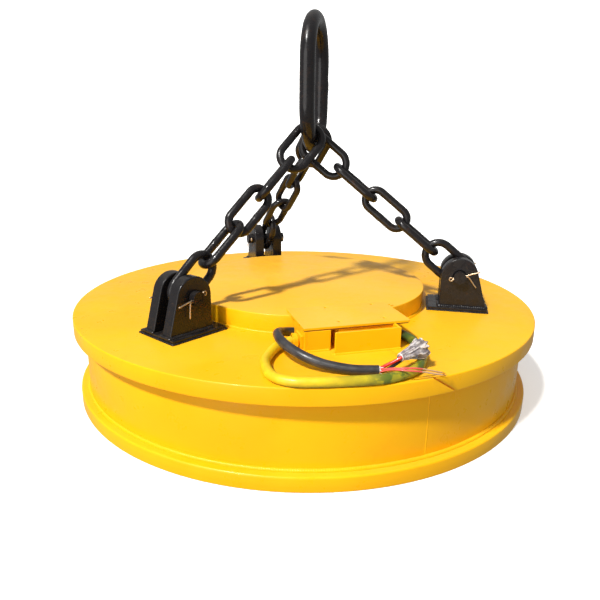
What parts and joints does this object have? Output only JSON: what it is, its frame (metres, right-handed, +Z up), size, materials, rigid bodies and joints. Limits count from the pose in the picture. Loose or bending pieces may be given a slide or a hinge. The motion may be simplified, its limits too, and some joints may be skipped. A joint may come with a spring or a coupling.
{
  "type": "lifting magnet",
  "caption": "Round electromagnetic lifting magnet with a top-mounted terminal box and a three-leg chain sling on an oblong master link.",
  "frame": {"origin": "on the floor, at the centre of the round pole face", "axes": "+Z up along the magnet axis; -Y towards the side with the terminal box and the cable; the right lug is 11 degrees behind +X towards -Y"},
  "size_m": [1.0998, 1.104, 0.8566],
  "materials": {
    "yellow_paint": "gloss enamel, lightly scuffed",
    "black_paint": "thick gloss black enamel",
    "pole_steel": "machined low-carbon steel",
    "manganese_plate": "dull non-magnetic manganese steel",
    "coil_strip": "strip-wound, edge on",
    "insulation": "glass-cloth laminate",
    "spool_steel": "rolled sheet",
    "copper": "bare copper",
    "bushing": "moulded phenolic",
    "terminal_board": "fabric-filled phenolic board",
    "terminal_brass": "bare brass",
    "gasket_rubber": "soft black rubber",
    "socket_screw": "black oxide",
    "zinc_screw": "zinc plated",
    "split_pin": "yellow-passivated wire",
    "chain_black": "thick gloss black lacquer",
    "cable_sheath": "worn sheath with yellow overspray",
    "core_red": "glossy red insulation",
    "core_black": "black insulation",
    "wire_red": "red insulation, bare strands at the tip",
    "clear_film": "crumpled clear wrap",
    "bolt_steel": "dark high-tensile steel"
  },
  "bodies": {
    "magnet_body": {"foot_ring": "yellow_paint", "outer_shell": "yellow_paint", "top_plate": "yellow_paint", "centre_disc": "yellow_paint", "iron_core": "pole_steel", "pole_shoe": "pole_steel", "pole_shoe_bolts": "bolt_steel", "coil_lower": "coil_strip", "coil_middle": "coil_strip", "coil_upper": "coil_strip", "coil_spool": "spool_steel", "insulation_discs": "insulation", "protection_plate": "manganese_plate", "coil_leads": "copper", "lead_bushings": "bushing", "lead_nuts": "terminal_brass", "terminal_block": "terminal_board", "terminal_box": "yellow_paint", "front_guard": "yellow_paint", "lid_gasket": "gasket_rubber", "terminal_box_lid": "yellow_paint", "lid_screws": "socket_screw", "filler_plug": "socket_screw", "gland": "yellow_paint", "gland_clamp": "yellow_paint", "clamp_screws": "zinc_screw", "right_lug_pad": "black_paint", "right_lug_cheeks": "black_paint", "rear_lug_pad": "black_paint", "rear_lug_cheeks": "black_paint", "left_lug_pad": "black_paint", "left_lug_cheeks": "black_paint", "cable": "cable_sheath", "red_core": "core_red", "black_core": "core_black", "signal_wires": "wire_red", "film_wrap": "clear_film"},
    "master_link": {"master_link": "chain_black"},
    "right_pin": {"right_lug_pin": "black_paint", "right_lug_cotters": "split_pin"},
    "right_link_1": {"right_link_1": "chain_black"},
    "right_link_2": {"right_link_2": "chain_black"},
    "right_link_3": {"right_link_3": "chain_black"},
    "right_link_4": {"right_link_4": "chain_black"},
    "right_link_5": {"right_link_5": "chain_black"},
    "rear_pin": {"rear_lug_pin": "black_paint", "rear_lug_cotters": "split_pin"},
    "rear_link_1": {"rear_link_1": "chain_black"},
    "rear_link_2": {"rear_link_2": "chain_black"},
    "rear_link_3": {"rear_link_3": "chain_black"},
    "rear_link_4": {"rear_link_4": "chain_black"},
    "rear_link_5": {"rear_link_5": "chain_black"},
    "left_pin": {"left_lug_pin": "black_paint", "left_lug_cotters": "split_pin"},
    "left_link_1": {"left_link_1": "chain_black"},
    "left_link_2": {"left_link_2": "chain_black"},
    "left_link_3": {"left_link_3": "chain_black"},
    "left_link_4": {"left_link_4": "chain_black"},
    "left_link_5": {"left_link_5": "chain_black"}
  },
  "joints": [
    {"name": "sling_lowering", "type": "slide", "parent": "magnet_body", "child": "master_link", "axis": [0, 0, -1], "range_m": [0, 0.042]},
    {"name": "right_pin_turn", "type": "hinge", "parent": "magnet_body", "child": "right_pin", "pos_m": [0.36909, -0.07174, 0.28], "axis": [0.1908, 0.9816, 0], "range_deg": [-37.31, 0]},
    {"name": "right_link_1_swing", "type": "hinge", "parent": "magnet_body", "child": "right_link_1", "pos_m": [0.36909, -0.07174, 0.28], "axis": [0.1908, 0.9816, 0], "range_deg": [-37.31, 0]},
    {"name": "right_link_2_swing", "type": "hinge", "parent": "right_link_1", "child": "right_link_2", "pos_m": [0.31053, -0.06036, 0.32773], "axis": [0.1908, 0.9816, 0], "range_deg": [0, 20.94]},
    {"name": "right_link_3_swing", "type": "hinge", "parent": "right_link_2", "child": "right_link_3", "pos_m": [0.22238, -0.04323, 0.39957], "axis": [0.1908, 0.9816, 0], "range_deg": [0, 16.33]},
    {"name": "right_link_4_swing", "type": "hinge", "parent": "right_link_3", "child": "right_link_4", "pos_m": [0.16306, -0.0317, 0.44793], "axis": [0.1908, 0.9816, 0], "range_deg": [0, 11.32]},
    {"name": "right_link_5_swing", "type": "hinge", "parent": "right_link_4", "child": "right_link_5", "pos_m": [0.07491, -0.01456, 0.51977], "axis": [0.1908, 0.9816, 0], "range_deg": [0, 7.63]},
    {"name": "rear_pin_turn", "type": "hinge", "parent": "magnet_body", "child": "rear_pin", "pos_m": [-0.12241, 0.35552, 0.28], "axis": [-0.9455, -0.3256, 0], "range_deg": [-35.64, 0]},
    {"name": "rear_link_1_swing", "type": "hinge", "parent": "magnet_body", "child": "rear_link_1", "pos_m": [-0.12241, 0.35552, 0.28], "axis": [-0.9455, -0.3256, 0], "range_deg": [-35.64, 0]},
    {"name": "rear_link_2_swing", "type": "hinge", "parent": "rear_link_1", "child": "rear_link_2", "pos_m": [-0.10117, 0.30294, 0.33121], "axis": [-0.9455, -0.3256, 0], "range_deg": [0, 20.65]},
    {"name": "rear_link_3_swing", "type": "hinge", "parent": "rear_link_2", "child": "rear_link_3", "pos_m": [-0.0616, 0.22729, 0.40825], "axis": [-0.9455, -0.3256, 0], "range_deg": [0, 15.37]},
    {"name": "rear_link_4_swing", "type": "hinge", "parent": "rear_link_3", "child": "rear_link_4", "pos_m": [-0.03496, 0.17638, 0.46011], "axis": [-0.9455, -0.3256, 0], "range_deg": [0, 10.37]},
    {"name": "rear_link_5_swing", "type": "hinge", "parent": "rear_link_4", "child": "rear_link_5", "pos_m": [0.00462, 0.10073, 0.53715], "axis": [-0.9455, -0.3256, 0], "range_deg": [0, 7.78]},
    {"name": "left_pin_turn", "type": "hinge", "parent": "magnet_body", "child": "left_pin", "pos_m": [-0.24668, -0.28377, 0.28], "axis": [0.7547, -0.6561, 0], "range_deg": [-35.64, 0]},
    {"name": "left_link_1_swing", "type": "hinge", "parent": "magnet_body", "child": "left_link_1", "pos_m": [-0.24668, -0.28377, 0.28], "axis": [0.7547, -0.6561, 0], "range_deg": [-35.64, 0]},
    {"name": "left_link_2_swing", "type": "hinge", "parent": "left_link_1", "child": "left_link_2", "pos_m": [-0.20729, -0.24298, 0.33121], "axis": [0.7547, -0.6561, 0], "range_deg": [0, 20.65]},
    {"name": "left_link_3_swing", "type": "hinge", "parent": "left_link_2", "child": "left_link_3", "pos_m": [-0.14226, -0.18767, 0.40825], "axis": [0.7547, -0.6561, 0], "range_deg": [0, 15.37]},
    {"name": "left_link_4_swing", "type": "hinge", "parent": "left_link_3", "child": "left_link_4", "pos_m": [-0.09849, -0.15044, 0.46011], "axis": [0.7547, -0.6561, 0], "range_deg": [0, 10.37]},
    {"name": "left_link_5_swing", "type": "hinge", "parent": "left_link_4", "child": "left_link_5", "pos_m": [-0.03346, -0.09513, 0.53715], "axis": [0.7547, -0.6561, 0], "range_deg": [0, 7.78]}
  ],
  "couplings": [
    {"joint": "right_pin_turn", "follows": "sling_lowering", "rad_per_m": -15.452},
    {"joint": "right_link_1_swing", "follows": "sling_lowering", "rad_per_m": -15.452},
    {"joint": "right_link_2_swing", "follows": "sling_lowering", "rad_per_m": 8.664},
    {"joint": "right_link_3_swing", "follows": "sling_lowering", "rad_per_m": 6.7518},
    {"joint": "right_link_4_swing", "follows": "sling_lowering", "rad_per_m": 4.6757},
    {"joint": "right_link_5_swing", "follows": "sling_lowering", "rad_per_m": 3.1447},
    {"joint": "rear_pin_turn", "follows": "sling_lowering", "rad_per_m": -14.76},
    {"joint": "rear_link_1_swing", "follows": "sling_lowering", "rad_per_m": -14.76},
    {"joint": "rear_link_2_swing", "follows": "sling_lowering", "rad_per_m": 8.544},
    {"joint": "rear_link_3_swing", "follows": "sling_lowering", "rad_per_m": 6.354},
    {"joint": "rear_link_4_swing", "follows": "sling_lowering", "rad_per_m": 4.2787},
    {"joint": "rear_link_5_swing", "follows": "sling_lowering", "rad_per_m": 3.2061},
    {"joint": "left_pin_turn", "follows": "sling_lowering", "rad_per_m": -14.76},
    {"joint": "left_link_1_swing", "follows": "sling_lowering", "rad_per_m": -14.76},
    {"joint": "left_link_2_swing", "follows": "sling_lowering", "rad_per_m": 8.544},
    {"joint": "left_link_3_swing", "follows": "sling_lowering", "rad_per_m": 6.354},
    {"joint": "left_link_4_swing", "follows": "sling_lowering", "rad_per_m": 4.2787},
    {"joint": "left_link_5_swing", "follows": "sling_lowering", "rad_per_m": 3.2061}
  ]
}
